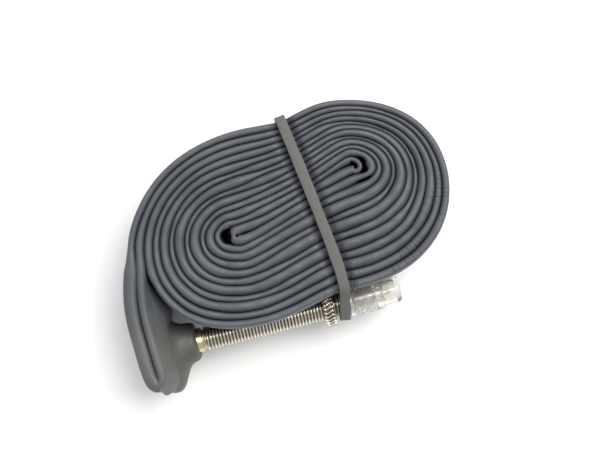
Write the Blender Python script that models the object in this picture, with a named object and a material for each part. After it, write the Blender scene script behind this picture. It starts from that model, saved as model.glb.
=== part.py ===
"""A bicycle inner tube, pressed flat, doubled, rolled up and held by a rubber band.

The flat tube stands on edge, so the roll rests on its folded edge, at z = 0. +X runs along the
roll's longest side, and the origin is under the middle of the whole object. All the sizes below
are in millimetres and are turned into metres where a mesh is made.

The ring is doubled at the valve, which leaves two strands side by side. They start at the far
fold in the middle, wind six times round two poles, and end at the valve on the outside.
"""
import math

import bmesh
import bpy
import numpy as np

MM = 0.001
GAP = 0.3                        # between any two pieces

# The roll
FLAT_WIDTH = 25.0                # the pressed tube's width, the height of the roll
STRAND_MAX = 1.15                # two walls of rubber, pressed together
STRAND_GAP = 0.15                # between strands that lie side by side
WRAPS = 6                        # turns of the doubled strip
LAST_LEFT = 10.5                 # outermost strand round the left pole, before the valve's two
LAST_RIGHT = 11.5                # outermost strand round the right pole
LOBE_SWELL = 1.045               # a B-spline runs this much inside its control points
ROLL_CENTRE = (1.812, 11.102)    # halfway between the poles, seen from the middle of the object
LEFT_POLE = (-13.1, -7.8)
RIGHT_POLE = (13.1, 7.8)
WAIST = (3.0, 0.9)               # where the band crosses the line between the poles
# A spoke: direction in degrees, then the distance of its second strand and of its last strand.
# A right spoke starts with the distance of its first strand, the hairpin in the middle.
RIGHT_SPOKES = ((-90, 0.3, 2.5, 26.8), (-60, 0.6, 2.3, 26.0), (-30, 1.2, 3.4, 24.6),
                (0, 2.0, 5.1, 21.6), (30, 2.2, 4.6, 18.9), (60, 2.2, 4.0, 16.0),
                (90, 2.3, 3.9, 14.9), (120, 2.5, 3.9, 16.4))
LEFT_SPOKES = ((90, 2.7, 19.6), (120, 3.5, 18.6), (150, 4.2, 19.3), (180, 5.2, 20.9),
               (210, 4.5, 22.4), (240, 3.5, 22.6), (270, 3.1, 20.7), (300, 3.6, 21.2))
UPPER_WAIST = (110.5, 0.8, 17.6)     # direction, first strand and strand 12.5
LOWER_WAIST = (-59.0, 0.9, 22.3)     # the same, to strand 10.5, from the roll's centre
# The two strands along the line between the poles, round the far fold
CORE_RUN = ((8.0, 5.0), (1.5, 1.0), (-5.2, -3.1), (-10.8, -5.5), (-14.2, -6.3), (-14.5, -8.6),
            (-12.2, -9.3), (-7.9, -6.9), (-1.5, -2.4), (5.5, 1.5))
STATIONS_PER_TURN = 27
FINE_STEP = 0.05                 # in control points, to look for folds and the band
FOLD_TURN = math.radians(34)     # a section at least as often as this in a fold
SHOULDER = 4.0                   # half-height of the dent that the valve presses into the roll

# The valve, along its own axis from the face of its rubber foot
VALVE_FACE = (-23.45, -33.15)
VALVE_ANGLE = math.radians(14.5)
VALVE_HEIGHT = FLAT_WIDTH / 2
STEM_R = 3.0
STEM_FOOT = -6.6
STEM_END = 38.2
CORE_BORE_R = 2.3
CORE_BORE_FLOOR = 25.5
AIR_BORE_R = 1.3
CORE_R = 1.95
CORE_START = 30.0
CAP_THREAD_R = 2.6
CAP_THREAD = (39.1, 43.8)
PIN_R = 0.65
PIN_TIP = 48.0
NUT_R = 4.9
NUT = (31.1, 33.7)
CHANNEL_R = NUT_R + 0.4          # the dent has room for the nut all the way
FOOT_R = 4.5                     # the stem's foot, held in the rubber
FOOT_THICKNESS = 0.9
WASHER = (-7.8, -7.1)
WASHER_R = 5.3
PLUNGER = 27.4                   # inner end of the pin
PLUNGER_R = 1.5
PIN_BORE_R = 0.95
CORE_NUT = (44.1, 46.2)
CORE_NUT_R = 1.95
BASE_SIDES = 28
CAP = (37.4, 50.3)
BASE_BACK = -7.9                 # the rubber foot's face against the tube
# The slit between the two strands that leave the roll: how far in from the axis, and along it
TAIL_LINE = ((21.6, -8.0), (15.6, -9.8), (9.6, -10.7), (3.6, -10.5), (-1.8, -10.4))
VALVE_FOLD = ((-11.5, -7.2), (-8.8, -7.0))       # round the fold itself, along and in
FOLD_THICKNESS = 1.9
INNER_TAIL = 2.0                 # the strand between the slit and the roll, swollen near the fold
OUTER_TAIL = 2.7                 # the strand outside the slit
TAIL_START = 26.0                # both leave the roll this far in from the stem's axis
INNER_SWELLS_OVER = 15.0
OUTER_SWELLS_OVER = 6.0

# The band
BAND_WIDTH = 2.5
BAND_THICKNESS = 1.0
BAND_PLAN = ((-3.1, 18.4), (0.6, 9.6), (4.1, 0.9), (7.3, -7.2), (10.2, -15.0), (11.5, -19.8),
             (11.8, -24.0))
BAND_AT = 36.3                   # where it crosses the stem
BAND_CORNER = ((0.0, -1.6), (0.15, -0.5), (0.9, 0.0))    # over the far edge: along, and from its top
BAND_LEAVES = ((-0.5, 0.0), (0.6, -0.5))     # off the near edge, the same way
BAND_SPANS = 6                   # straight pieces across the roll
BAND_ROUND_STEM = (40, 20, 0)    # degrees
NOTCH = 1.35                     # how deep the band sinks into the roll's edges
NOTCH_HALF = BAND_WIDTH / 2 + 0.35
NOTCH_RAMP = 1.1

STEM_DIR = np.array((math.cos(VALVE_ANGLE), math.sin(VALVE_ANGLE)))
STEM_IN = np.array((-STEM_DIR[1], STEM_DIR[0]))      # from the stem towards the roll


def material(name, colour, roughness, metallic=0.0):
    made = bpy.data.materials.new(name)
    made.use_nodes = True
    shader = made.node_tree.nodes["Principled BSDF"]
    shader.inputs["Base Color"].default_value = (*colour, 1.0)
    shader.inputs["Roughness"].default_value = roughness
    shader.inputs["Metallic"].default_value = metallic
    return made


def empty(name, location, rotation=(0.0, 0.0, 0.0), parent=None):
    made = bpy.data.objects.new(name, None)
    made.location = [value * MM for value in location]
    made.rotation_euler = rotation
    made.parent = parent
    bpy.context.collection.objects.link(made)
    return made


def mesh_object(name, points, faces, finish, parent):
    mesh = bpy.data.meshes.new(name)
    mesh.from_pydata([[value * MM for value in point] for point in points], [], faces)
    work = bmesh.new()
    work.from_mesh(mesh)
    bmesh.ops.recalc_face_normals(work, faces=work.faces)
    work.to_mesh(mesh)
    work.free()
    mesh.shade_smooth()
    mesh.set_sharp_from_angle(angle=math.radians(35))
    mesh.materials.append(finish)
    made = bpy.data.objects.new(name, mesh)
    made.parent = parent
    bpy.context.collection.objects.link(made)
    return made


def ring_faces(rings, size):
    """Quads between each ring of points and the next, and from the last back to the first."""
    faces = []
    for i in range(rings):
        j = (i + 1) % rings
        for k in range(size):
            m = (k + 1) % size
            faces.append((i * size + k, i * size + m, j * size + m, j * size + k))
    return faces


# ---- the roll -------------------------------------------------------------------------------

def spoke_point(pole, degrees, radius):
    angle = math.radians(degrees)
    return np.array(pole) + radius * np.array((math.cos(angle), math.sin(angle)))


def strand_thickness(pitch):
    return min(STRAND_MAX, 0.85 * pitch - STRAND_GAP)


def right_lobe(level):
    """Control points round the right pole: x, y, thickness and rank from the outside."""
    found = []
    for degrees, first, second, last in RIGHT_SPOKES:
        pitch = (last - second) / (LAST_RIGHT - 1.5)
        radius = first if level < 1 else second + (level - 1.5) * pitch
        x, y = spoke_point(RIGHT_POLE, degrees, radius * LOBE_SWELL)
        found.append((x, y, strand_thickness(pitch), LAST_RIGHT - level))
    return found


def upper_side(level):
    degrees, first, last = UPPER_WAIST
    pitch = (last - first) / 12
    x, y = spoke_point(WAIST, degrees, first + (level - 0.5) * pitch)
    return [(x, y, strand_thickness(pitch), 12.5 - level)]


def left_spoke(level, degrees, second, last):
    pitch = (last - second) / (LAST_LEFT - 1.5)
    x, y = spoke_point(LEFT_POLE, degrees, (second + (level - 1.5) * pitch) * LOBE_SWELL)
    return x, y, strand_thickness(pitch), max(LAST_LEFT - level, 0.0)


def lower_side(level):
    degrees, first, last = LOWER_WAIST
    pitch = (last - first) / (LAST_LEFT - 0.5)
    x, y = spoke_point((0.0, 0.0), degrees, first + (level - 0.5) * pitch)
    return [(x, y, strand_thickness(pitch), LAST_LEFT - level)]


def valve_plan(along, inward):
    """A point in plan, given along the stem's axis and from it towards the roll."""
    return np.array(VALVE_FACE) + along * STEM_DIR + inward * STEM_IN


def strand(level_right):
    """One strand's control points, from the far fold in the middle to the last left lobe.

    A fifth value numbers the spokes, so that sections can stand side by side on every strand.
    """
    found = []
    for wrap in range(WRAPS):
        level = level_right + 2 * wrap
        found += right_lobe(level) + upper_side(level + 1)
        last = wrap == WRAPS - 1
        for degrees, second, outer in LEFT_SPOKES[:4] if last else LEFT_SPOKES:
            found.append(left_spoke(level + 1, degrees, second, outer))
        if not last:
            found += lower_side(level + 1)
    return [(*row, spoke) for spoke, row in enumerate(found)]


def tail(side, thickness, swells_over):
    """Control points beside the slit, from the roll down to the fold; side is 1 inside."""
    found = []
    for inward, slit in TAIL_LINE:
        grown = STRAND_MAX + (thickness - STRAND_MAX) * min(1.0, (TAIL_START - inward) / swells_over)
        x, y = valve_plan(slit + side * (grown + GAP) / 2, inward)
        found.append((x, y, grown, -1.0, math.nan))
    return found


def ring_control():
    """The whole ring's control points, as a closed list."""
    middle = [(x, y, 1.0, LAST_LEFT - 0.5, math.nan) for x, y in CORE_RUN]
    inner_tail = tail(1, INNER_TAIL, INNER_SWELLS_OVER)
    outer_tail = tail(-1, OUTER_TAIL, OUTER_SWELLS_OVER)
    fold = [(*valve_plan(along, inward), FOLD_THICKNESS, -1.0, math.nan) for along, inward in VALVE_FOLD]
    return strand(0.5)[::-1] + middle + strand(1.5) + outer_tail + fold + inner_tail[::-1]


def spline(control, at):
    """A closed uniform cubic B-spline at the parameter at, over rows of any width."""
    count = len(control)
    i = int(math.floor(at))
    f = at - i
    weights = ((1 - f) ** 3, 3 * f ** 3 - 6 * f ** 2 + 4, -3 * f ** 3 + 3 * f ** 2 + 3 * f + 1, f ** 3)
    rows = [control[(i + k - 1) % count] for k in range(4)]
    return sum(w * row for w, row in zip(weights, rows)) / 6


def band_frame(point):
    """A point in plan as its distance along the band's line and its offset to the side of it."""
    best = None
    start = 0.0
    spans = list(zip(BAND_PLAN, BAND_PLAN[1:]))
    for i, (a, b) in enumerate(spans):
        a, b = np.array(a), np.array(b)
        length = np.linalg.norm(b - a)
        run = (b - a) / length
        along = np.dot(point - a, run)
        low = -math.inf if i == 0 else 0.0
        high = math.inf if i == len(spans) - 1 else length
        along = min(max(along, low), high)
        away = point - a - along * run
        side = math.copysign(np.linalg.norm(away), away[0])
        if best is None or abs(side) < abs(best[1]):
            best = (start + along, side)
        start += length
    return best


def band_point(u):
    """The point at the distance u along the band's line, and the direction of its width."""
    spans = list(zip(BAND_PLAN, BAND_PLAN[1:]))
    for i, (a, b) in enumerate(spans):
        a, b = np.array(a), np.array(b)
        length = np.linalg.norm(b - a)
        if u < length or i == len(spans) - 1:
            run = (b - a) / length
            return a + u * run, np.array((-run[1], run[0]))
        u -= length


def dent(point, thickness, rank):
    """How far a strand's middle is pressed in by the valve that lies beside the roll."""
    if rank < 0:
        return np.zeros(2)
    inward = np.dot(point - np.array(VALVE_FACE), STEM_IN)
    need = CHANNEL_R + thickness / 2 + rank * (thickness + STRAND_GAP)
    return max(0.0, need - inward) * STEM_IN


def stations(control):
    """Where the ring's sections stand: evenly round each turn, closer in the folds and at the band."""
    count = len(control)
    per_turn = len(RIGHT_SPOKES) + len(LEFT_SPOKES) + 2
    step = per_turn / STATIONS_PER_TURN
    fine = np.arange(0.0, count, FINE_STEP)
    rows = [spline(control, at) for at in fine]
    offsets = [band_frame(row[:2])[1] for row in rows]
    crossings = []
    for i, at in enumerate(fine):
        before, after = offsets[i - 1], offsets[i]
        for edge in (-NOTCH_HALF - NOTCH_RAMP, -NOTCH_HALF, NOTCH_HALF, NOTCH_HALF + NOTCH_RAMP):
            if (before - edge) * (after - edge) < 0 and abs(before - after) < 3.0:
                crossings.append(at - FINE_STEP * (after - edge) / (after - before))
    chosen = []
    last = -step
    turned_by = 0.0
    heading = rows[1][:2] - rows[0][:2]
    for i, at in enumerate(fine):
        ahead = rows[(i + 1) % len(rows)][:2] - rows[i][:2]
        cross = heading[0] * ahead[1] - heading[1] * ahead[0]
        turned_by += abs(math.atan2(cross, float(np.dot(heading, ahead))))
        heading = ahead
        before, after = rows[i - 1][4] / step, rows[i][4] / step
        if math.isnan(before + after):
            due = at - last >= step - 1e-6
        else:
            due = math.floor(before) != math.floor(after)
        if (due or turned_by > FOLD_TURN) and abs(offsets[i]) > NOTCH_HALF + NOTCH_RAMP + 0.5:
            chosen.append(at)
            last = at
            turned_by = 0.0
    return sorted(chosen + crossings)


def section(control, at):
    """One upright section of the flat tube: a closed loop of points."""
    row = spline(control, at)
    ahead = spline(control, at + FINE_STEP)[:2] - spline(control, at - FINE_STEP)[:2]
    side = np.array((ahead[1], -ahead[0])) / np.linalg.norm(ahead)
    point, thickness, rank = row[:2], row[2], row[3]
    pressed = dent(point, thickness, rank)
    offset = abs(band_frame(point)[1])
    notch = NOTCH * min(1.0, max(0.0, (NOTCH_HALF + NOTCH_RAMP - offset) / NOTCH_RAMP))
    heights = (notch, FLAT_WIDTH / 2 - SHOULDER, FLAT_WIDTH / 2 + SHOULDER, FLAT_WIDTH - notch)
    shifts = (np.zeros(2), pressed, pressed, np.zeros(2))
    right = [(*(point + shift + side * thickness / 2), z) for z, shift in zip(heights, shifts)]
    left = [(*(point + shift - side * thickness / 2), z) for z, shift in zip(heights, shifts)]
    return right + left[::-1]


def tube_body(finish, parent):
    control = np.array(ring_control())
    at = stations(control)
    points = [point for t in at for point in section(control, t)]
    return mesh_object("tube_body", points, ring_faces(len(at), 8), finish, parent)


# ---- the valve ------------------------------------------------------------------------------

def turned(name, profile, finish, parent, sides=20):
    """A turned piece from (distance along, radius) points: a loop, or a line from axis to axis."""
    solid = profile[0][1] == 0 and profile[-1][1] == 0
    inner = profile[1:-1] if solid else profile
    points = []
    for i in range(sides):
        angle = 2 * math.pi * i / sides
        points += [(radius * math.cos(angle), radius * math.sin(angle), along) for along, radius in inner]
    faces = ring_faces(sides, len(inner))
    if solid:
        size = len(inner)
        faces = [face for k, face in enumerate(faces) if k % size != size - 1]
        points += [(0, 0, profile[0][0]), (0, 0, profile[-1][0])]
        for i in range(sides):
            j = (i + 1) % sides
            faces.append((len(points) - 2, i * size, j * size))
            faces.append((len(points) - 1, i * size + size - 1, j * size + size - 1))
    return mesh_object(name, points, faces, finish, parent)


def tube_profile(start, end, inner, outer, bevel=0.0):
    """A plain tube's profile, with its outer edges bevelled."""
    if not bevel:
        return (start, inner), (start, outer), (end, outer), (end, inner)
    return ((start, inner), (start, outer - bevel), (start + bevel, outer), (end - bevel, outer),
            (end, outer - bevel), (end, inner))


def valve_base(finish, parent):
    """The moulded rubber foot: an oval flange on the tube, rising to a collar round the stem."""
    # distance along, half-length towards the fold, half-length towards the roll, half-height
    outer = ((BASE_BACK, 10.9, 7.4, 10.6), (-7.2, 10.9, 7.4, 10.6), (-5.8, 9.9, 6.6, 9.4),
             (-4.6, 7.0, 5.6, 6.8), (-3.6, 4.9, 4.9, 4.9), (-0.8, 4.3, 4.3, 4.3), (0.0, 3.9, 3.9, 3.9))
    ledge = STEM_FOOT + FOOT_THICKNESS + GAP
    bore = ((0.0, STEM_R + GAP), (ledge, STEM_R + GAP), (ledge, FOOT_R + GAP),
            (WASHER[1] + GAP, FOOT_R + GAP), (WASHER[1] + GAP, WASHER_R + GAP), (BASE_BACK, WASHER_R + GAP))
    loops = outer + tuple((along, radius, radius, radius) for along, radius in bore)
    points = []
    for i in range(BASE_SIDES):
        angle = 2 * math.pi * i / BASE_SIDES
        for along, fold, roll, high in loops:
            inward = math.cos(angle) * (roll if math.cos(angle) > 0 else fold)
            points.append((high * math.sin(angle), inward, along))
    return mesh_object("valve_base", points, ring_faces(BASE_SIDES, len(loops)), finish, parent)


def fixed_valve(brass, nickel, rubber, axis):
    foot_top = STEM_FOOT + FOOT_THICKNESS
    turned("foot_washer", tube_profile(*WASHER, STEM_R + GAP, WASHER_R), brass, axis)
    turned("valve_stem", ((STEM_FOOT, AIR_BORE_R), (STEM_FOOT, FOOT_R), (foot_top, FOOT_R),
                          (foot_top, STEM_R), (STEM_END - 0.4, STEM_R),
                          (STEM_END, STEM_R - 0.3), (STEM_END, CORE_BORE_R),
                          (CORE_BORE_FLOOR, CORE_BORE_R), (CORE_BORE_FLOOR, AIR_BORE_R)), brass, axis, 24)
    low, high = CAP_THREAD
    turned("core_body", ((CORE_START, PIN_BORE_R), (CORE_START, CORE_R), (low, CORE_R), (low, CAP_THREAD_R),
                         (high - 0.4, CAP_THREAD_R), (high, CAP_THREAD_R - 0.4), (high, PIN_BORE_R)),
           nickel, axis)
    turned("core_thread_seal", tube_profile(STEM_END + GAP, low - GAP, CORE_R + GAP, CAP_THREAD_R + 0.1),
           rubber, axis)


def moving_valve(brass, nickel, rubber, clear, axis):
    rim_nut = empty("rim_nut_axis", (0, 0, NUT[0]), parent=axis)
    turned("rim_nut", tube_profile(0.0, NUT[1] - NUT[0], STEM_R + GAP, NUT_R, 0.5), nickel, rim_nut, 24)

    pin = empty("core_pin_axis", (0, 0, PLUNGER), parent=axis)
    tip = PIN_TIP - PLUNGER
    turned("core_pin", ((0.0, 0.0), (0.0, PLUNGER_R), (0.8, PLUNGER_R), (0.8, PIN_R), (tip - 0.3, PIN_R),
                        (tip, PIN_R - 0.25), (tip, 0.0)), brass, pin, 12)
    turned("core_seal", tube_profile(0.8 + GAP, CORE_START - PLUNGER - GAP, PIN_R + GAP, PLUNGER_R + 0.1),
           rubber, pin, 16)
    core_nut = empty("core_nut_axis", (0, 0, CORE_NUT[0]), parent=axis)
    turned("core_nut", tube_profile(0.0, CORE_NUT[1] - CORE_NUT[0], PIN_R + GAP, CORE_NUT_R, 0.3),
           nickel, core_nut, 16)

    cap = empty("dust_cap_axis", (0, 0, CAP[0]), parent=axis)
    turned("dust_cap", cap_profile(), clear, cap, 24)


def cap_profile():
    """The cap's profile from the tip of its axis, down the outside and back up the inside."""
    length = CAP[1] - CAP[0]
    roof = length - 1.2
    return ((length, 0.0), (length, 2.4), (length - 0.7, 3.1), (8.9, 3.1), (7.7, 3.75), (0.9, 3.75),
            (0.7, 4.0), (0.0, 4.0), (0.0, STEM_R + GAP), (1.3, STEM_R + GAP), (1.3, CAP_THREAD_R + GAP),
            (6.8, CAP_THREAD_R + GAP), (7.5, 2.3), (roof, 2.3), (roof, 0.0))


# ---- the band -------------------------------------------------------------------------------

def band_path(control):
    """The band's middle line as (distance along its line in plan, height), a closed loop."""
    edges = []
    for at in np.arange(0.0, len(control), FINE_STEP):
        row = spline(control, at)
        u, offset = band_frame(row[:2])
        if row[3] >= 0 and abs(offset) < NOTCH_HALF:
            edges += [u - row[2] / 2, u + row[2] / 2]
    half = BAND_THICKNESS / 2
    far = min(edges) - GAP - half
    near = max(edges)
    top = FLAT_WIDTH - NOTCH + GAP + half
    stem = band_frame(valve_plan(BAND_AT, 0.0))[0]
    wrap = STEM_R + GAP + half
    run = [(far + u, top + rise) for u, rise in BAND_CORNER]
    leaves = [(near + u, top + rise) for u, rise in BAND_LEAVES]
    start = run[-1][0]
    for i in range(1, BAND_SPANS):
        run.append((start + (leaves[0][0] - start) * i / BAND_SPANS, top))
    run += leaves
    for degrees in BAND_ROUND_STEM:
        angle = math.radians(degrees)
        run.append((stem + wrap * math.cos(angle), VALVE_HEIGHT + wrap * math.sin(angle)))
    below = [(u, FLAT_WIDTH - z) for u, z in run[-2::-1]]
    return run + below


def rubber_band(finish, parent):
    path = band_path(np.array(ring_control()))
    points = []
    for i, (u, z) in enumerate(path):
        before, after = path[i - 1], path[(i + 1) % len(path)]
        turn = np.array((after[0] - before[0], after[1] - before[1]))
        turn = turn / np.linalg.norm(turn)
        for across, out in ((-1, -1), (1, -1), (1, 1), (-1, 1)):
            rise = out * BAND_THICKNESS / 2
            plan, width = band_point(u - turn[1] * rise)
            x, y = plan + width * across * BAND_WIDTH / 2
            points.append((x, y, z + turn[0] * rise))
    return mesh_object("rubber_band", points, ring_faces(len(path), 4), finish, parent)


def build():
    for old in list(bpy.data.objects):
        bpy.data.objects.remove(old, do_unlink=True)
    butyl = material("butyl rubber", (0.055, 0.06, 0.072), 0.6)
    moulded = material("moulded base rubber", (0.075, 0.08, 0.07), 0.65)
    band = material("band rubber", (0.085, 0.088, 0.09), 0.7)
    brass = material("brass", (0.62, 0.52, 0.33), 0.3, 1.0)
    nickel = material("nickel plate", (0.72, 0.68, 0.64), 0.25, 1.0)
    seal = material("seal rubber", (0.02, 0.02, 0.02), 0.6)
    clear = material("clear plastic", (0.9, 0.92, 0.88), 0.15)

    roll = empty("roll_centre", (*ROLL_CENTRE, 0.0))
    axis = empty("valve_axis", (*VALVE_FACE, VALVE_HEIGHT), (0.0, math.pi / 2, VALVE_ANGLE), roll)
    tube_body(butyl, roll)
    rubber_band(band, roll)
    valve_base(moulded, axis)
    fixed_valve(brass, nickel, seal, axis)
    moving_valve(brass, nickel, seal, clear, axis)


build()
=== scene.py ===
"""The looks of a rolled bicycle inner tube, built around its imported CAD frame.

The path of the tube, the valve's axis and the band's line repeat the part's own sizes, in
millimetres, in the roll's own frame: its origin is halfway between the two poles.
"""
import math

import bmesh
import bpy
import numpy as np
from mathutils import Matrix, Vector


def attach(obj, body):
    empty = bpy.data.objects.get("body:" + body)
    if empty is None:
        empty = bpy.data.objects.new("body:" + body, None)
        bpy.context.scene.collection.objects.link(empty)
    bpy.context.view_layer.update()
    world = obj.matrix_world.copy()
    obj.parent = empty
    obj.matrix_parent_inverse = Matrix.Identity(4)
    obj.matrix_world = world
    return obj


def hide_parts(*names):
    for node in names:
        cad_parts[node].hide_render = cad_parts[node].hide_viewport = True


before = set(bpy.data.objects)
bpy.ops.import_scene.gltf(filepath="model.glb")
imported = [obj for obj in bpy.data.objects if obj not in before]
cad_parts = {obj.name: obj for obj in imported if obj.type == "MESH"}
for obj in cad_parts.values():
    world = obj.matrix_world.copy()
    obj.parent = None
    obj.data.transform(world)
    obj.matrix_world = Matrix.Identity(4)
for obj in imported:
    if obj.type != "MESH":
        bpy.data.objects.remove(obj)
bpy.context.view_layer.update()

MM = 0.001
GAP = 0.3                        # between any two pieces

# The roll, as in the part
FLAT_WIDTH = 25.0
MIDDLE = FLAT_WIDTH / 2
STRAND_MAX = 1.15
STRAND_GAP = 0.15
WRAPS = 6
LAST_LEFT = 10.5
LAST_RIGHT = 11.5
LOBE_SWELL = 1.045
ROLL_CENTRE = (1.812, 11.102)    # halfway between the poles, seen from the middle of the object
LEFT_POLE = (-13.1, -7.8)
RIGHT_POLE = (13.1, 7.8)
WAIST = (3.0, 0.9)
RIGHT_SPOKES = ((-90, 0.3, 2.5, 26.8), (-60, 0.6, 2.3, 26.0), (-30, 1.2, 3.4, 24.6),
                (0, 2.0, 5.1, 21.6), (30, 2.2, 4.6, 18.9), (60, 2.2, 4.0, 16.0),
                (90, 2.3, 3.9, 14.9), (120, 2.5, 3.9, 16.4))
LEFT_SPOKES = ((90, 2.7, 19.6), (120, 3.5, 18.6), (150, 4.2, 19.3), (180, 5.2, 20.9),
               (210, 4.5, 22.4), (240, 3.5, 22.6), (270, 3.1, 20.7), (300, 3.6, 21.2))
UPPER_WAIST = (110.5, 0.8, 17.6)
LOWER_WAIST = (-59.0, 0.9, 22.3)
CORE_RUN = ((8.0, 5.0), (1.5, 1.0), (-5.2, -3.1), (-10.8, -5.5), (-14.2, -6.3), (-14.5, -8.6),
            (-12.2, -9.3), (-7.9, -6.9), (-1.5, -2.4), (5.5, 1.5))
SHOULDER = 4.0                   # half-height of the dent that the valve presses into the roll

# The valve, along its own axis from the face of its rubber foot, as in the part
VALVE_FACE = (-23.45, -33.15)
VALVE_ANGLE = math.radians(14.5)
STEM_R = 3.0
STEM_END = 38.2
CHANNEL_R = 5.3                  # the dent has room for the nut all the way
NUT_R = 4.9
NUT = (31.1, 33.7)
CORE_NUT_R = 1.95
CORE_NUT = (44.1, 46.2)
CAP_THREAD_R = 2.6
CAP = (37.4, 50.3)
CAP_INNER_R = 3.0                # inside wall of the cap, where its thread runs
STEM_PITCH = 0.8                 # each thread's pitch, and its depth below
STEM_DEPTH = 0.42
CORE_PITCH = 0.7
CORE_DEPTH = 0.32
ON_WALL = 0.01                   # a point this close to a wall's radius is cut by its thread or knurl
TAIL_LINE = ((21.6, -8.0), (15.6, -9.8), (9.6, -10.7), (3.6, -10.5), (-1.8, -10.4))
VALVE_FOLD = ((-11.5, -7.2), (-8.8, -7.0))
FOLD_THICKNESS = 1.9
INNER_TAIL = 2.0
OUTER_TAIL = 2.7
TAIL_START = 26.0
INNER_SWELLS_OVER = 15.0
OUTER_SWELLS_OVER = 6.0

# The band, as in the part
BAND_WIDTH = 2.5
BAND_THICKNESS = 1.0
BAND_PLAN = ((-3.1, 18.4), (0.6, 9.6), (4.1, 0.9), (7.3, -7.2), (10.2, -15.0), (11.5, -19.8),
             (11.8, -24.0))
BAND_AT = 36.3                   # where it crosses the stem
BAND_UP_FAR_SIDE = (0.0, 4.0, 8.0)       # heights above the middle
BAND_CORNER = ((0.0, -1.6), (0.15, -0.5), (0.9, 0.0))    # over the far edge: along, and from its top
BAND_LEAVES = ((-0.5, 0.0), (0.6, -0.5))     # off the near edge, the same way
BAND_SPANS = 9                   # straight pieces across the roll
BAND_ROUND_STEM = (40, 20, 0)    # degrees
BAND_ROUNDING = 0.17             # of the band's own edges
NOTCH = 1.35                     # how deep the band sinks into the roll's edges
NOTCH_HALF = BAND_WIDTH / 2 + 0.35
NOTCH_RAMP = 1.1

STEM_DIR = np.array((math.cos(VALVE_ANGLE), math.sin(VALVE_ANGLE)))
STEM_IN = np.array((-STEM_DIR[1], STEM_DIR[0]))

# How the strands' folded edges look
STATION_STEP = 0.8               # between sections along the tube, or this much turn if sooner
STATION_TURN = math.radians(9)
BULB_MAX = 1.3                   # half-width of a folded edge that has room
BULB_FREE = 0.8                  # the same with no strand beside it
CORE_FREE = 0.58                 # and in the middle of the roll, where it is stretched tight
CORE_REACH = 3.2                 # a strand no further than this fills the groove, in the middle
OUTER_REACH = 3.0                # and outside
SHARE = 0.2                      # how much of a groove the higher strand takes, for each mm
SHARE_MAX = 0.17                 # and no more than this
PAIR_STEP = 0.75                 # every other strand lies this much lower
HOLE_REACH = 1.75                # near the right hairpin, where a strand stands free of the next
HOLE_NEAR = 4.6                  # from the right pole
# Down a folded edge: distance below its top and distance out, both in half-widths
BULB = ((0.03, 0.25), (0.12, 0.47), (0.34, 0.69), (0.68, 0.86), (1.15, 0.96), (1.8, 1.0), (2.6, 0.98))
LEVELS = (7.0, 4.4)              # heights above the middle where the walls lie flat
ACROSS_WAIST = np.array((math.cos(math.radians(110.5)), math.sin(math.radians(110.5))))
LEAN = 0.5                       # how far a crest tips inwards on the lower side, in half-widths
LOW_STRANDS = ((4.1, 1.5), (7.1, 1.0))   # rank and depth of two strands that lie low on the right
TAIL_OUTSIDE = (1.9, 1.2)        # half-widths away from the slit, of the outer and the inner strand
TAIL_SLIT_SIDE = (1.5, 1.15)     # and beside it
TAIL_SLOPE = 2.7                 # the inner strand's wall spreads this far towards the roll
TAIL_HOLLOW = 2.0                # and this much further beside the hollow
HOLLOW_AT = 12.0
HOLLOW_REACH = 5.0
FAR = 9.0                        # stands for no strand at all
ABREAST = 0.55                   # a point this little ahead or behind is beside a station
SAME_STRAND = 2.5                # along the tube
BESIDE = 0.25                    # a strand's middle line is further away than this

# The studio, in metres and watts
KEY_PLACE = (0.24, 0.23, 0.58)
KEY_SIZE = 0.5
KEY_POWER = 4.8
FILL_PLACE = (-0.15, 0.45, 0.5)
FILL_SIZE = 0.5
FILL_POWER = 1.0
SKY_STRENGTH = 0.7
FLOOR_REACH = 3.0
CAMERA_PLACE = (0.002962, 0.005812, 0.314)
CAMERA_LENS = 75
SENSOR_WIDTH = 36


# ---- meshes -----------------------------------------------------------------------------------

def to_world(points):
    """Points of the roll's frame, in millimetres, as world points in metres."""
    return (np.asarray(points, float) + np.array((*ROLL_CENTRE, 0.0))) * MM


def valve_world(points):
    """Points given as (down, inward, along) from the valve's face, as world points in metres."""
    points = np.asarray(points, float)
    down, inward, along = points[:, 0], points[:, 1], points[:, 2]
    plan = np.array(VALVE_FACE) + along[:, None] * STEM_DIR + inward[:, None] * STEM_IN
    return to_world(np.column_stack((plan, MIDDLE - down)))


def grid_faces(rows, size, closed):
    """Quads between rings of points; closed joins the last ring to the first."""
    faces = []
    for i in range(rows if closed else rows - 1):
        j = (i + 1) % rows
        for k in range(size):
            m = (k + 1) % size
            faces.append((i * size + k, i * size + m, j * size + m, j * size + k))
    return faces


def piece(name, points, faces, finish, body, nodes=(), sharp=None):
    mesh = bpy.data.meshes.new(name)
    mesh.from_pydata([tuple(point) for point in points], [], faces)
    work = bmesh.new()
    work.from_mesh(mesh)
    bmesh.ops.recalc_face_normals(work, faces=work.faces)
    work.to_mesh(mesh)
    work.free()
    mesh.shade_smooth()
    if sharp is not None:
        mesh.set_sharp_from_angle(angle=math.radians(sharp))
    mesh.materials.append(finish)
    made = bpy.data.objects.new(name, mesh)
    bpy.context.scene.collection.objects.link(made)
    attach(made, body)
    if nodes:
        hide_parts(*nodes)
    return made


def smooth(value):
    """Eases a value from 0 to 1, and holds it there outside that."""
    value = np.clip(value, 0.0, 1.0)
    return value * value * (3 - 2 * value)


# ---- materials --------------------------------------------------------------------------------

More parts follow.
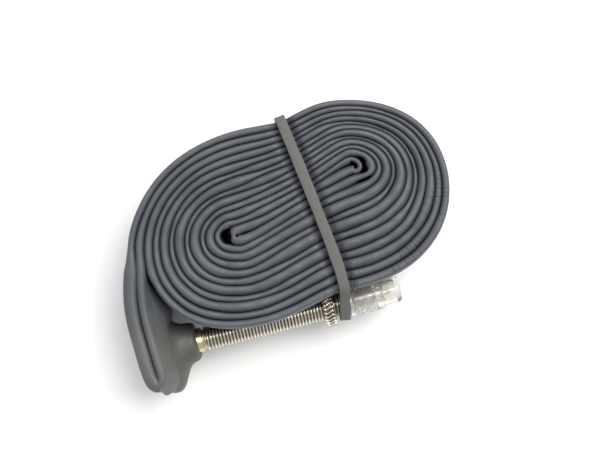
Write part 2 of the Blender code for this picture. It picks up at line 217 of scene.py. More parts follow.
class Nodes:
    """A short way to build a material's nodes."""

    def __init__(self, name, **sockets):
        self.made = bpy.data.materials.new(name)
        self.made.use_nodes = True
        self.tree = self.made.node_tree
        self.shader = self.tree.nodes["Principled BSDF"]
        for socket, value in sockets.items():
            self.shader.inputs[socket.replace("_", " ")].default_value = value
        self.place = self.add("ShaderNodeTexCoord").outputs["Object"]

    def add(self, kind, inputs=None, **settings):
        node = self.tree.nodes.new(kind)
        for key, value in settings.items():
            setattr(node, key, value)
        for key, value in (inputs or {}).items():
            if isinstance(value, bpy.types.NodeSocket):
                self.tree.links.new(value, node.inputs[key])
            else:
                node.inputs[key].default_value = value
        return node

    def noise(self, scale, detail=3.0, rough=0.5, vector=None):
        return self.add("ShaderNodeTexNoise", {"Vector": vector or self.place, "Scale": scale,
                                               "Detail": detail, "Roughness": rough}).outputs["Fac"]

    def remap(self, value, low, high, to_low=0.0, to_high=1.0):
        return self.add("ShaderNodeMapRange", {"Value": value, "From Min": low, "From Max": high,
                                               "To Min": to_low, "To Max": to_high}).outputs["Result"]

    def math(self, operation, a, b=0.5):
        return self.add("ShaderNodeMath", {0: a, 1: b}, operation=operation).outputs[0]

    def mix(self, factor, a, b):
        node = self.add("ShaderNodeMix", {"Factor": factor}, data_type="RGBA")
        for slot, value in ((6, a), (7, b)):
            if isinstance(value, bpy.types.NodeSocket):
                self.tree.links.new(value, node.inputs[slot])
            else:
                node.inputs[slot].default_value = (*value, 1.0)
        return node.outputs[2]

    def stretched(self, attribute, scale):
        """A vector from a mesh attribute, scaled along and across."""
        source = self.add("ShaderNodeAttribute", attribute_name=attribute).outputs["Vector"]
        return self.add("ShaderNodeMapping", {"Vector": source, "Scale": scale}).outputs["Vector"]

    def bump(self, height, strength, distance, normal=None):
        inputs = {"Height": height, "Strength": strength, "Distance": distance}
        if normal is not None:
            inputs["Normal"] = normal
        return self.add("ShaderNodeBump", inputs).outputs["Normal"]

    def finish(self, **links):
        for socket, value in links.items():
            self.tree.links.new(value, self.shader.inputs[socket.replace("_", " ")])
        return self.made


BAR_PITCH = 0.0021               # raised bars moulded along the outer strands, in groups
BAR_GROUP = 0.017


def rubber(name, dark, light, warm=None):
    """Matt rubber: grain, lengthwise streaks, traces of talc, white specks and raised bars."""
    n = Nodes(name, Roughness=0.5, Specular_IOR_Level=0.5)
    broad = n.noise(90, 4, 0.6)
    streak = n.noise(1.0, 4, 0.6, n.stretched("run", (60, 2500, 1)))
    grain = n.noise(9000, 2, 0.6)
    tone = n.mix(n.remap(broad, 0.3, 0.7), dark, light)
    lighter = tuple(value * 1.5 for value in light)
    tone = n.mix(n.math("MULTIPLY", n.remap(streak, 0.5, 0.8), 0.35), tone, lighter)
    if warm:
        tone = n.mix(n.add("ShaderNodeAttribute", attribute_name="patch").outputs["Fac"], tone, warm)
    talc = n.math("MULTIPLY", n.remap(n.noise(260, 5, 0.7), 0.60, 0.78), n.remap(grain, 0.45, 0.7))
    tone = n.mix(n.math("MULTIPLY", talc, 0.35), tone, (0.3, 0.31, 0.32))
    spots = n.add("ShaderNodeTexVoronoi", {"Vector": n.place, "Scale": 210.0})
    speck = n.math("MULTIPLY", n.remap(spots.outputs["Distance"], 0.045, 0.02),
                   n.remap(n.noise(300, 1), 0.62, 0.66))
    tone = n.mix(speck, tone, (0.5, 0.5, 0.5))
    rough = n.remap(n.noise(700, 3), 0.3, 0.7, 0.42, 0.56)
    normal = n.bump(grain, 0.25, 0.00008)
    normal = n.bump(n.noise(1.0, 3, 0.6, n.stretched("run", (250, 4000, 1))), 0.3, 0.00012, normal)
    along = n.add("ShaderNodeSeparateXYZ", {"Vector": n.stretched("run", (1, 1, 1))}).outputs["X"]
    bar = n.math("SINE", n.math("MULTIPLY", along, 2 * math.pi / BAR_PITCH))
    group = n.math("SINE", n.math("MULTIPLY", along, 2 * math.pi / BAR_GROUP))
    marked = n.add("ShaderNodeAttribute", attribute_name="marked").outputs["Fac"]
    bars = n.math("MULTIPLY", n.remap(bar, 0.1, 0.4), n.remap(group, 0.0, 0.15))
    normal = n.bump(n.math("MULTIPLY", bars, marked), 0.8, 0.00025, normal)
    return n.finish(Base_Color=tone, Roughness=rough, Normal=normal)


def band_rubber():
    """Dull rubber with a fine speckle."""
    n = Nodes("band_rubber", Roughness=0.62)
    speckle = n.remap(n.noise(5200, 3, 0.6), 0.35, 0.65)
    tone = n.mix(speckle, (0.075, 0.076, 0.073), (0.1, 0.1, 0.096))
    return n.finish(Base_Color=tone, Roughness=n.remap(speckle, 0, 1, 0.7, 0.55),
                    Normal=n.bump(speckle, 0.35, 0.00008))


def nickel():
    """Nickel plate, worn in places, with painted shade darkening the roots of threads and knurls."""
    n = Nodes("nickel_plate", Metallic=1.0, Roughness=0.2)
    wear = n.remap(n.noise(900, 4, 0.6), 0.35, 0.7)
    tone = n.mix(wear, (0.76, 0.72, 0.65), (0.6, 0.54, 0.44))
    # painted shade: the deeper a thread's or knurl's cut, the more its nickel is darkened towards dark
    # brown
    painted_root_shade = n.add("ShaderNodeAttribute", attribute_name="cut").outputs["Fac"]
    tone = n.mix(n.math("MULTIPLY", painted_root_shade, 0.85), tone, (0.12, 0.10, 0.075))
    return n.finish(Base_Color=tone, Roughness=n.remap(wear, 0, 1, 0.16, 0.32),
                    Normal=n.bump(n.noise(3000, 3), 0.1, 0.00003))


def brass():
    """Bare brass, a little dull."""
    n = Nodes("brass_bright", Metallic=1.0, Roughness=0.28)
    wear = n.remap(n.noise(700, 4, 0.6), 0.35, 0.7)
    tone = n.mix(wear, (0.72, 0.62, 0.4), (0.56, 0.47, 0.29))
    return n.finish(Base_Color=tone, Roughness=n.remap(wear, 0, 1, 0.22, 0.4),
                    Normal=n.bump(n.noise(3000, 3), 0.15, 0.00003))


def clear_plastic():
    """Clear plastic, slightly hazy."""
    n = Nodes("clear_plastic", Roughness=0.12, IOR=1.45, Transmission_Weight=0.86,
              Base_Color=(0.95, 0.95, 0.91, 1))
    haze = n.remap(n.noise(500, 3), 0.3, 0.75, 0.1, 0.22)
    return n.finish(Roughness=haze, Normal=n.bump(n.noise(1200, 2), 0.12, 0.00004))


def seal_rubber():
    n = Nodes("seal_rubber", Roughness=0.6)
    tone = n.mix(n.noise(1500, 3), (0.015, 0.015, 0.016), (0.035, 0.035, 0.036))
    return n.finish(Base_Color=tone, Normal=n.bump(n.noise(6000, 2), 0.2, 0.00004))


# ---- the roll's path ----------------------------------------------------------------------------

def spoke_point(pole, degrees, radius):
    angle = math.radians(degrees)
    return np.array(pole) + radius * np.array((math.cos(angle), math.sin(angle)))


def strand_thickness(pitch):
    return min(STRAND_MAX, 0.85 * pitch - STRAND_GAP)


def right_lobe(level):
    """Control points round the right pole: x, y, thickness and rank from the outside."""
    found = []
    for degrees, first, second, last in RIGHT_SPOKES:
        pitch = (last - second) / (LAST_RIGHT - 1.5)
        radius = first if level < 1 else second + (level - 1.5) * pitch
        x, y = spoke_point(RIGHT_POLE, degrees, radius * LOBE_SWELL)
        found.append((x, y, strand_thickness(pitch), LAST_RIGHT - level))
    return found


def upper_side(level):
    degrees, first, last = UPPER_WAIST
    pitch = (last - first) / 12
    x, y = spoke_point(WAIST, degrees, first + (level - 0.5) * pitch)
    return [(x, y, strand_thickness(pitch), 12.5 - level)]


def left_spoke(level, degrees, second, last):
    pitch = (last - second) / (LAST_LEFT - 1.5)
    x, y = spoke_point(LEFT_POLE, degrees, (second + (level - 1.5) * pitch) * LOBE_SWELL)
    return x, y, strand_thickness(pitch), max(LAST_LEFT - level, 0.0)


def lower_side(level):
    degrees, first, last = LOWER_WAIST
    pitch = (last - first) / (LAST_LEFT - 0.5)
    x, y = spoke_point((0.0, 0.0), degrees, first + (level - 0.5) * pitch)
    return [(x, y, strand_thickness(pitch), LAST_LEFT - level)]


def valve_plan(along, inward):
    """A point in plan, given along the stem's axis and from it towards the roll."""
    return np.array(VALVE_FACE) + along * STEM_DIR + inward * STEM_IN


def strand(level_right):
    """One strand's control points, from the far fold in the middle to the last left lobe."""
    found = []
    for wrap in range(WRAPS):
        level = level_right + 2 * wrap
        found += right_lobe(level) + upper_side(level + 1)
        last = wrap == WRAPS - 1
        for degrees, second, outer in LEFT_SPOKES[:4] if last else LEFT_SPOKES:
            found.append(left_spoke(level + 1, degrees, second, outer))
        if not last:
            found += lower_side(level + 1)
    return found


def tail(side, thickness, swells_over):
    """Control points beside the slit, from the roll down to the fold; side is 1 inside."""
    found = []
    for inward, slit in TAIL_LINE:
        grown = STRAND_MAX + (thickness - STRAND_MAX) * min(1.0, (TAIL_START - inward) / swells_over)
        x, y = valve_plan(slit + side * (grown + GAP) / 2, inward)
        found.append((x, y, grown, -1.0))
    return found


def ring_control():
    """The whole ring's control points, as a closed list."""
    middle = [(x, y, 1.0, LAST_LEFT - 0.5) for x, y in CORE_RUN]
    inner_tail = tail(1, INNER_TAIL, INNER_SWELLS_OVER)
    outer_tail = tail(-1, OUTER_TAIL, OUTER_SWELLS_OVER)
    fold = [(*valve_plan(along, inward), FOLD_THICKNESS, -1.0) for along, inward in VALVE_FOLD]
    return np.array(strand(0.5)[::-1] + middle + strand(1.5) + outer_tail + fold + inner_tail[::-1])


def spline(control, at):
    """A closed uniform cubic B-spline over rows of any width, at an array of parameters."""
    at = np.asarray(at, float)
    i = np.floor(at).astype(int)
    f = (at - i)[:, None]
    weights = ((1 - f) ** 3, 3 * f ** 3 - 6 * f ** 2 + 4, -3 * f ** 3 + 3 * f ** 2 + 3 * f + 1, f ** 3)
    rows = [control[(i + k - 1) % len(control)] for k in range(4)]
    return sum(w * row for w, row in zip(weights, rows)) / 6


def band_frame(points):
    """Each point as its distance along the band's line in plan, and its offset from the line."""
    best_u = np.zeros(len(points))
    best_side = np.full(len(points), 1e9)
    start = 0.0
    spans = list(zip(BAND_PLAN, BAND_PLAN[1:]))
    for i, (a, b) in enumerate(spans):
        a, b = np.array(a), np.array(b)
        length = np.linalg.norm(b - a)
        run = (b - a) / length
        along = (points - a) @ run
        along = np.clip(along, -np.inf if i == 0 else 0.0, np.inf if i == len(spans) - 1 else length)
        away = points - a - along[:, None] * run
        side = np.copysign(np.linalg.norm(away, axis=1), away[:, 0])
        nearer = np.abs(side) < np.abs(best_side)
        best_u[nearer] = (start + along)[nearer]
        best_side[nearer] = side[nearer]
        start += length
    return best_u, best_side


def band_point(u):
    """The point at the distance u along the band's line, and the direction of its width."""
    spans = list(zip(BAND_PLAN, BAND_PLAN[1:]))
    for i, (a, b) in enumerate(spans):
        a, b = np.array(a), np.array(b)
        length = np.linalg.norm(b - a)
        if u < length or i == len(spans) - 1:
            run = (b - a) / length
            return a + u * run, np.array((-run[1], run[0]))
        u -= length


def ring_smooth(values, reach):
    """A moving average round the ring, over reach stations each way."""
    kernel = np.hanning(2 * reach + 3)[1:-1]
    kernel = kernel / kernel.sum()
    padded = np.concatenate((values[-reach:], values, values[:reach]))
    return np.convolve(padded, kernel, mode="valid")


def wave(arc, length, seed):
    """A smooth, aperiodic ripple between -1 and 1 along the tube."""
    total = np.zeros(len(arc))
    for k, (stretch, phase) in enumerate(((1.0, 0.7), (0.618, 2.1), (0.414, 4.4), (0.271, 1.3))):
        total += np.sin(2 * math.pi * arc / (length * stretch) + phase + seed * (1.7 + k))
    return total / 4


class Ring:
    """The tube's stations: where each section stands, which way it faces and how wide it is."""

    def __init__(self):
        control = ring_control()
        fine = np.arange(0, len(control), 0.02)
        plan = spline(control, fine)[:, :2]
        steps = np.roll(plan, -1, 0) - plan
        length = np.linalg.norm(steps, axis=1)
        heading = np.arctan2(steps[:, 1], steps[:, 0])
        turn = np.abs((np.roll(heading, -1) - heading + math.pi) % (2 * math.pi) - math.pi)
        measure = np.concatenate(((0,), np.cumsum(length / STATION_STEP + turn / STATION_TURN)))
        self.count = int(measure[-1])
        wanted = np.arange(self.count) * measure[-1] / self.count
        at = np.interp(wanted, measure, np.append(fine, len(control)))
        rows = spline(control, at)
        self.plan, self.thick, self.rank = rows[:, :2], rows[:, 2], rows[:, 3]
        self.arc = np.interp(wanted, measure, np.concatenate(((0,), np.cumsum(length))))
        self.total = length.sum()
        ahead = spline(control, at + 0.02)[:, :2] - spline(control, at - 0.02)[:, :2]
        self.ahead = ahead / np.linalg.norm(ahead, axis=1)[:, None]
        self.side = np.column_stack((self.ahead[:, 1], -self.ahead[:, 0]))
        self.tail = np.clip(-self.rank, 0, 1)
        offset = self.plan - np.array(VALVE_FACE)
        self.inward = offset @ STEM_IN
        self.along = offset @ STEM_DIR
        self.sag = 0.45 * (1 + wave(self.arc, 61, 0)) + 0.2 * (1 + wave(self.arc, 17, 3))
        paired = (0.5 - 0.5 * np.cos(math.pi * self.rank)) * (0.55 + 0.45 * wave(self.arc, 130, 2))
        self.sag = (self.sag + PAIR_STEP * paired) * (0.45 + 0.55 * smooth(self.rank / 3.0))
        from_pole = self.plan - np.array(RIGHT_POLE)
        bearing = np.degrees(np.arctan2(from_pole[:, 1], from_pole[:, 0]))
        window = smooth((bearing + 50) / 25) * smooth((130 - bearing) / 25)
        for rank, depth in LOW_STRANDS:
            self.sag += depth * window * np.exp(-((self.rank - rank) / 0.5) ** 2)
        self.sag = self.sag * (1 - self.tail)
        self.marked = smooth((2.2 - self.rank) / 0.6) * smooth((bearing + 105) / 10)
        self.marked *= smooth((35 - bearing) / 15) * (1 - self.tail)
        self.lean = LEAN * smooth((-self.plan @ ACROSS_WAIST - 1.0) / 10.0) * (1 - self.tail)
        self.room()
        need = CHANNEL_R + self.thick / 2 + self.rank * (self.thick + STRAND_GAP)
        pressed = np.where(self.rank < -0.001, 0.0, np.maximum(0.0, need - self.inward))
        self.pressed = pressed[:, None] * STEM_IN
        self.notch()

    def room(self):
        """Half-widths of the folded edge to the left and right, from the nearest strands."""
        heading = np.unwrap(np.arctan2(self.ahead[:, 1], self.ahead[:, 0]))
        spacing = np.diff(np.append(self.arc, self.total))
        curve = np.gradient(heading) / np.maximum(spacing, 1e-6)
        widths = []
        outside = smooth((9.0 - self.rank) / 4.0)
        free = CORE_FREE + (BULB_FREE - CORE_FREE) * outside
        reach = CORE_REACH + (OUTER_REACH - CORE_REACH) * outside
        beyond = (self.plan - np.array(RIGHT_POLE)) @ np.array((0.96, 0.28))
        near_hairpin = np.linalg.norm(self.plan - np.array(RIGHT_POLE), axis=1) < HOLE_NEAR
        reach = np.where(near_hairpin & (beyond > 0.4), HOLE_REACH, reach)
        for sign in (1, -1):
            found = np.full(self.count, FAR)
            share = np.full(self.count, 0.49)
            for i in range(self.count):
                away = self.plan - self.plan[i]
                apart = np.abs(self.arc - self.arc[i])
                apart = np.minimum(apart, self.total - apart)
                lateral = away @ self.side[i] * sign
                abreast = np.abs(away @ self.ahead[i]) < ABREAST
                near = abreast & (apart > SAME_STRAND) & (lateral > BESIDE)
                if near.any():
                    j = np.where(near, lateral, FAR).argmin()
                    found[i] = lateral[j]
                    share[i] += np.clip(SHARE * (self.sag[j] - self.sag[i]), -SHARE_MAX, SHARE_MAX)
            half = np.where(found < reach, found * share, free)
            tight = np.where(curve * sign < 0, 0.8 / np.maximum(np.abs(curve), 1e-3), FAR)
            half = np.clip(np.minimum(half, tight), 0.3, BULB_MAX)
            widths.append(ring_smooth(half, 3))
        self.right, self.left = widths

    def notch(self):
        """How deep each section's edges sink under the band."""
        offset = band_frame(self.plan)[1]
        ramp = np.where(offset < 0, NOTCH_RAMP * 1.5, NOTCH_RAMP)
        self.dip = NOTCH * smooth((NOTCH_HALF + ramp - np.abs(offset)) / ramp)


def tube_piece(ring, finish):
    """The tube's whole surface: a bulging edge above and below, and flat walls between them."""
    n = ring.count
    outside = ring.side @ STEM_DIR < 0
    swells_over = np.where(outside, OUTER_SWELLS_OVER, INNER_SWELLS_OVER / 2)
    tail = ring.tail * np.clip((TAIL_START - ring.inward) / swells_over, 0, 1)
    inner_tail = tail * ~outside
    right = ring.right + tail * (np.where(outside, *TAIL_OUTSIDE) - ring.right)
    left = ring.left + tail * (np.where(outside, *TAIL_SLIT_SIDE) - ring.left)
    lift = 0.25 * (1 + wave(ring.arc, 71, 5))
    top = FLAT_WIDTH - ring.dip - ring.sag
    bottom = ring.dip + lift * (1 - tail)
    hollow = np.exp(-((ring.inward - HOLLOW_AT) / HOLLOW_REACH) ** 2)
    swell = inner_tail * (TAIL_SLOPE * smooth((19.0 - ring.inward) / 10.0) + TAIL_HOLLOW * hollow)
    body = ring.thick / 2

    def column(sign):
        """Points down one side, from below the top edge to above the bottom edge."""
        wide = right if sign > 0 else left
        found = []
        for depth, out in BULB:
            found.append((top - depth * np.minimum(wide, 1.0), wide * out))
        for level in LEVELS:
            found.append((np.full(n, MIDDLE + level), body))
        found.append((np.full(n, MIDDLE), body))
        for level in LEVELS[::-1]:
            found.append((np.full(n, MIDDLE - level), body))
        for depth, out in BULB[::-1]:
            found.append((bottom + depth * np.minimum(wide, 1.0), wide * out))
        if sign > 0:
            shaped = []
            for z, out in found:
                depth = np.minimum(top - z, z - bottom)
                shaped.append((z, out + swell * smooth((depth - 0.3) / 6.5)))
            found = shaped
        return found

    def press(z):
        return 1 - smooth((np.abs(z - MIDDLE) - SHOULDER) / 6.0)

    loops = [(top, np.zeros(n))] + column(1) + [(bottom, np.zeros(n))]
    loops += [(z, -out) for z, out in column(-1)[::-1]]
    size = len(loops)
    points = np.zeros((n, size, 3))
    run = np.zeros((n, size, 3))
    girth = 0.0
    tip = ring.lean * (ring.right + ring.left) / 2 * (ring.side @ ACROSS_WAIST)
    for k, (z, out) in enumerate(loops):
        out = out + tip * (1 - smooth((top - z) / 3.2))
        points[:, k, :2] = ring.plan + ring.side * out[:, None] + ring.pressed * press(z)[:, None]
        points[:, k, 2] = z
        if k:
            girth += np.linalg.norm(points[:, k] - points[:, k - 1], axis=1).mean()
        run[:, k, 0] = ring.arc
        run[:, k, 1] = girth
    made = piece("tube_rubber", to_world(points.reshape(-1, 3)), grid_faces(n, size, True), finish,
                 "tube", ("tube_body",))
    store_vector(made, "run", run.reshape(-1, 3) * MM)
    near = np.exp(-((ring.inward / 8.0) ** 2))[:, None] * np.ones(size) * ring.tail[:, None]
    store_float(made, "patch", 0.8 * near.reshape(-1))
    marked = ring.marked[:, None] * smooth((points[:, :, 2] - 17.0) / 3.0)
    store_float(made, "marked", marked.reshape(-1))
    return made


def store_vector(made, name, values):
    kept = made.data.attributes.new(name, "FLOAT_VECTOR", "POINT")
    kept.data.foreach_set("vector", np.asarray(values, np.float32).reshape(-1))


def store_float(made, name, values):
    kept = made.data.attributes.new(name, "FLOAT", "POINT")
    kept.data.foreach_set("value", np.asarray(values, np.float32).reshape(-1))


# ---- the valve ----------------------------------------------------------------------------------

ROOT_SHADE_DEPTH = 0.4                 # a thread's or knurl's root this deep gets the full painted shade


def turned(name, profile, sides, finish, body, nodes=(), shape=None, sharp=None):
    """A turned piece from an array of (along, radius); shape(along, angle, radius) details it."""
    profile = np.asarray(profile, float)
    angle = 2 * math.pi * np.arange(sides) / sides
    along = np.repeat(profile[:, 0][:, None], sides, 1)
    plain = np.repeat(profile[:, 1][:, None], sides, 1)
    turn = np.repeat(angle[None, :], len(profile), 0)
    radius = plain if shape is None else shape(along, turn, plain)
    points = np.stack((radius * np.sin(turn), radius * np.cos(turn), along), -1).reshape(-1, 3)
    made = piece(name, valve_world(points), grid_faces(len(profile), sides, True), finish, body,
                 nodes, sharp)
    # how deep the thread or knurl cuts here; the nickel darkens this as painted shade at the roots
    store_float(made, "cut", np.clip(np.abs(plain - radius) / ROOT_SHADE_DEPTH, 0, 1).reshape(-1))
    return made


def thread(low, high, pitch, depth, wall):
    """Cuts a thread between low and high into an outer wall of the radius wall."""
    def shape(along, turn, radius):
        phase = (along / pitch - turn / (2 * math.pi)) % 1.0
        flank = np.clip(np.abs(phase - 0.5) * 2.6 - 0.3, 0, 1)
        ends = smooth((along - low) / 0.5) * smooth((high - along) / 0.5)
        return radius - depth * flank * ends * (np.abs(radius - wall) < ON_WALL)
    return shape


def run_profile(parts):
    """A profile from single (along, radius) points and (start, end, count, radius) runs of them."""
    found = []
    for part in parts:
        if len(part) == 4:
            start, end, count, radius = part
            found += [(value, radius) for value in np.linspace(start, end, count)]
        else:
            found.append(part)
    return found


def stem(finish, bright):
    """The threaded barrel, and the plain brass shoulder and foot below it."""
    cut = thread(1.9, 38.0, STEM_PITCH, STEM_DEPTH, STEM_R)
    turned("stem_thread", run_profile(((1.75, 1.3), (1.75, 2.45), (1.9, STEM_R - 0.3),
                                       (2.0, 37.9, 360, STEM_R), (38.1, STEM_R - 0.25), (STEM_END, 2.7),
                                       (STEM_END, 2.3), (25.5, 2.3), (25.5, 1.3))),
           48, finish, "tube", ("valve_stem",), cut, 60)
    turned("stem_shoulder", ((-6.4, 1.35), (-6.6, 1.6), (-6.6, 4.3), (-6.4, 4.5), (-5.9, 4.5), (-5.7, 4.3),
                             (-5.7, 3.2), (-5.5, 2.95), (1.0, 2.95), (1.25, 2.85), (1.35, 2.6),
                             (1.4, 2.4), (1.8, 2.4), (1.8, 1.35)),
           48, bright, "tube", (), None, 40)


def base(finish):
    """The moulded foot: an oval patch that runs into the tube, and the collar round the stem."""
    # along, half-length towards the fold, half-length towards the roll, half-height
    outer = ((-9.0, 10.6, 9.4, 9.6), (-8.3, 10.9, 9.0, 9.2), (-7.6, 10.95, 8.4, 8.6),
             (-6.9, 10.9, 7.8, 7.9), (-6.2, 10.6, 7.2, 7.2), (-5.6, 10.0, 6.6, 6.5),
             (-5.0, 9.1, 6.1, 5.95), (-4.5, 8.1, 5.7, 5.6), (-4.0, 7.2, 5.4, 5.3), (-3.4, 6.2, 5.15, 5.1),
             (-2.7, 5.4, 4.95, 4.9), (-1.8, 4.95, 4.8, 4.75), (-1.0, 4.75, 4.65, 4.65),
             (-0.5, 4.5, 4.45, 4.45), (-0.2, 4.2, 4.15, 4.15), (0.0, 3.75, 3.75, 3.75),
             (-0.02, 3.3, 3.3, 3.3), (-0.4, 3.08, 3.08, 3.08), (-5.0, 3.05, 3.05, 3.05),
             (-5.3, 4.8, 4.8, 4.8), (-7.0, 4.9, 4.9, 4.9), (-7.4, 5.6, 5.6, 5.6), (-9.0, 5.6, 5.6, 5.6))
    sides = 96
    angle = 2 * math.pi * np.arange(sides) / sides
    points = []
    for along, fold, roll, high in outer:
        reach = np.where(np.cos(angle) > 0, roll, fold)
        points.append(np.column_stack((high * np.sin(angle), reach * np.cos(angle),
                                       np.full(sides, along))))
    points = np.concatenate(points)
    made = piece("valve_foot", valve_world(points), grid_faces(len(outer), sides, True), finish, "tube",
                 ("valve_base",))
    store_vector(made, "run", points * MM)
    return made


def knurl(teeth, depth, twist, low, high, wall):
    """Cuts teeth along a nut's outer wall, bent like an S by twist of a tooth's pitch."""
    def shape(along, turn, radius):
        place = (along - low) / (high - low)
        bend = twist * np.sin(2 * math.pi * place)
        tooth = np.abs(((turn / (2 * math.pi) * teeth + bend) % 1.0) - 0.5) * 2
        cut = smooth((tooth - 0.35) / 0.4)
        ends = smooth(place / 0.16) * smooth((1 - place) / 0.16)
        return radius - depth * cut * ends * (np.abs(radius - wall) < ON_WALL)
    return shape


def nuts(finish):
    """The rim nut, and the lock nut on the pin."""
    low, high = NUT
    profile = run_profile(((low + 0.35, 3.3), (low, 3.6), (low, NUT_R - 0.45), (low + 0.12, NUT_R - 0.12),
                           (low + 0.25, high - 0.25, 22, NUT_R), (high - 0.12, NUT_R - 0.12),
                           (high, NUT_R - 0.45), (high, 3.6), (high - 0.35, 3.3)))
    turned("ring_nut", profile, 360, finish, "rim_nut", ("rim_nut",),
           knurl(30, 0.5, 0.22, low, high, NUT_R), 50)
    low, high = CORE_NUT
    profile = run_profile(((low, 0.95), (low, 1.6), (low + 0.2, high - 0.3, 8, CORE_NUT_R),
                           (high - 0.1, 1.8), (high, 1.5), (high, 0.95)))
    turned("lock_nut", profile, 144, finish, "core_nut", ("core_nut",),
           knurl(16, 0.2, 0.0, low, high, CORE_NUT_R), 50)


def core(finish):
    """The valve core's own body, with the thread that the cap screws on."""
    cut = thread(39.3, 43.6, CORE_PITCH, CORE_DEPTH, CAP_THREAD_R)
    turned("core_thread", run_profile(((30.0, 0.95), (30.0, 1.8), (30.2, 1.95), (39.0, 1.95), (39.1, 2.3),
                                       (39.15, 43.5, 60, CAP_THREAD_R), (43.7, 2.35), (43.8, 2.1),
                                       (43.8, 0.95))),
           48, finish, "tube", ("core_body",), cut, 60)


def cap(finish):
    """The clear cap: a wide threaded part and a narrow tip."""
    start, end = CAP

    def inside(along, turn, radius):
        phase = (along / STEM_PITCH - turn / (2 * math.pi)) % 1.0
        groove = 0.16 * smooth(1 - np.abs(phase - 0.5) * 2.2)
        return radius + groove * (np.abs(radius - CAP_INNER_R) < ON_WALL)

    profile = run_profile((
        (end - 1.3, 0.02), (end - 1.3, 2.1), (end - 1.6, 2.3), (end - 3.0, 2.32), (end - 4.9, 2.35),
        (end - 5.4, 2.6), (start + 6.6, start + 1.4, 48, CAP_INNER_R), (start + 1.2, 3.25),
        (start + 0.1, 3.32),
        (start, 3.45), (start, 3.85), (start + 0.12, 4.0), (start + 0.6, 4.0), (start + 0.75, 3.9),
        (start + 0.9, 3.75), (start + 7.3, 3.75), (start + 7.7, 3.68), (start + 8.3, 3.35),
        (start + 8.7, 3.14), (start + 9.0, 3.1), (end - 0.8, 3.1), (end - 0.35, 2.95), (end - 0.08, 2.6),
        (end, 2.2), (end, 0.02)))
    turned("screw_cap", profile, 72, finish, "dust_cap", ("dust_cap",), inside, 40)


# ---- the band -------------------------------------------------------------------------------------

def band(ring, finish):
    """The flat band, round the roll's waist and over the stem."""
    u, offset = band_frame(ring.plan)
    crossing = (ring.rank >= 0) & (np.abs(offset) < NOTCH_HALF)
    half = BAND_THICKNESS / 2
    far = (u - ring.thick / 2)[crossing].min() - GAP - half
    near = (u + ring.thick / 2)[crossing].max()
    top = FLAT_WIDTH - NOTCH + GAP + half
    stem_u = band_frame(valve_plan(BAND_AT, 0.0)[None, :])[0][0]
    wrap = STEM_R + GAP + half
    run = [(far, MIDDLE + rise) for rise in BAND_UP_FAR_SIDE]
    run += [(far + along, top + rise) for along, rise in BAND_CORNER]
    leaves = [(near + along, top + rise) for along, rise in BAND_LEAVES]
    start = run[-1][0]
    for i in range(1, BAND_SPANS):
        run.append((start + (leaves[0][0] - start) * i / BAND_SPANS, top))
    run += leaves
    for degrees in BAND_ROUND_STEM:
        angle = math.radians(degrees)
        run.append((stem_u + wrap * math.cos(angle), MIDDLE + wrap * math.sin(angle)))
    below = [(u, FLAT_WIDTH - z) for u, z in run[-2:0:-1]]
    path = spline(np.array(run + below), np.arange(0, len(run + below), 0.125))
    ahead = np.roll(path, -1, 0) - np.roll(path, 1, 0)
    ahead = ahead / np.linalg.norm(ahead, axis=1)[:, None]
    steps = np.linalg.norm(np.roll(path, -1, 0) - path, axis=1)
    arc = np.concatenate(((0,), np.cumsum(steps)[:-1]))
    outline = []
    for cx, cz, first in ((1, 1, 0), (-1, 1, 90), (-1, -1, 180), (1, -1, 270)):
        for step in range(4):
            angle = math.radians(first + 30 * step)
            outline.append((cx * (BAND_WIDTH / 2 - BAND_ROUNDING) + BAND_ROUNDING * math.cos(angle),
                            cz * (half - BAND_ROUNDING) + BAND_ROUNDING * math.sin(angle)))
    points = []
    run_at = []
    for i, (u, z) in enumerate(path):
        across = 1 + 0.03 * math.sin(arc[i] * 0.31) + 0.02 * math.sin(arc[i] * 0.83 + 1)
        for k, (wide, out) in enumerate(outline):
            plan, width = band_point(u - ahead[i][1] * out)
            x, y = plan + width * wide * across
            points.append((x, y, z + ahead[i][0] * out))
            run_at.append((arc[i], k * 0.4, 0))
    made = piece("elastic_band", to_world(points), grid_faces(len(path), len(outline), True), finish,
                 "tube", ("rubber_band",))
    store_vector(made, "run", np.array(run_at) * MM)
    return made


# ---- the studio -------------------------------------------------------------------------------------

def area_light(name, place, size, power, colour):
    """A round lamp that points at the middle of the object's underside."""
    data = bpy.data.lights.new(name, "AREA")
    data.shape = "DISK"
    data.size = size
    data.energy = power
    data.color = colour
    made = bpy.data.objects.new(name, data)
    made.location = place
    made.rotation_euler = (-Vector(place)).to_track_quat("-Z", "Y").to_euler()
    bpy.context.scene.collection.objects.link(made)
    return made


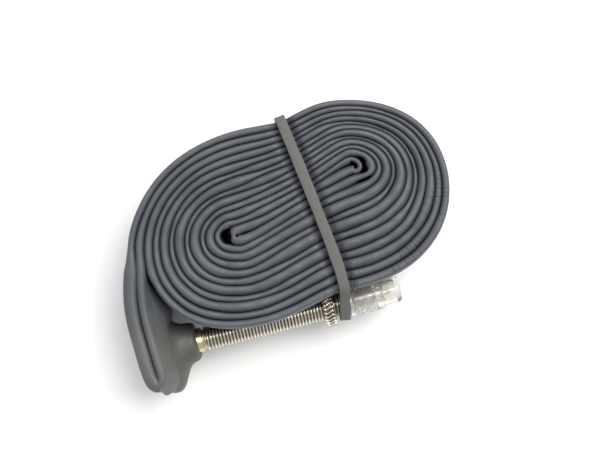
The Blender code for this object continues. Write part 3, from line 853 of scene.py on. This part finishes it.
def pale_floor():
    mesh = bpy.data.meshes.new("floor")
    reach = FLOOR_REACH
    corners = [(-reach, -reach, 0), (reach, -reach, 0), (reach, reach, 0), (-reach, reach, 0)]
    mesh.from_pydata(corners, [], [(0, 1, 2, 3)])
    floor = bpy.data.objects.new("floor", mesh)
    n = Nodes("pale_floor", Roughness=0.9)
    tone = n.mix(n.noise(20, 2), (0.93, 0.925, 0.915), (0.91, 0.905, 0.895))
    mesh.materials.append(n.finish(Base_Color=tone))
    bpy.context.scene.collection.objects.link(floor)


def studio():
    """A pale floor, a soft key light, a weak fill, an even sky, and the camera straight above."""
    pale_floor()
    world = bpy.data.worlds.new("studio")
    world.use_nodes = True
    world.node_tree.nodes["Background"].inputs["Color"].default_value = (0.95, 0.97, 1.0, 1)
    world.node_tree.nodes["Background"].inputs["Strength"].default_value = SKY_STRENGTH
    scene = bpy.context.scene
    scene.world = world
    scene.view_settings.view_transform = "Standard"
    area_light("key", KEY_PLACE, KEY_SIZE, KEY_POWER, (1.0, 0.98, 0.945))
    area_light("fill", FILL_PLACE, FILL_SIZE, FILL_POWER, (0.95, 0.97, 1.0))

    data = bpy.data.cameras.new("camera")
    data.lens = CAMERA_LENS
    data.sensor_width = SENSOR_WIDTH
    camera = bpy.data.objects.new("camera", data)
    camera.location = CAMERA_PLACE
    bpy.context.scene.collection.objects.link(camera)
    scene.camera = camera


def build():
    butyl = rubber("butyl_rubber", (0.048, 0.052, 0.060), (0.074, 0.079, 0.089), (0.098, 0.100, 0.09))
    moulded = rubber("moulded_rubber", (0.05, 0.05, 0.044), (0.07, 0.07, 0.062))
    plate = nickel()
    bright = brass()
    ring = Ring()
    tube_piece(ring, butyl)
    base(moulded)
    stem(plate, bright)
    core(plate)
    nuts(plate)
    cap(clear_plastic())
    band(ring, band_rubber())
    for node, finish in (("core_pin", bright), ("core_seal", seal_rubber()),
                         ("core_thread_seal", seal_rubber()), ("foot_washer", bright)):
        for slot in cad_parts[node].material_slots:
            slot.material = finish


studio()
build()
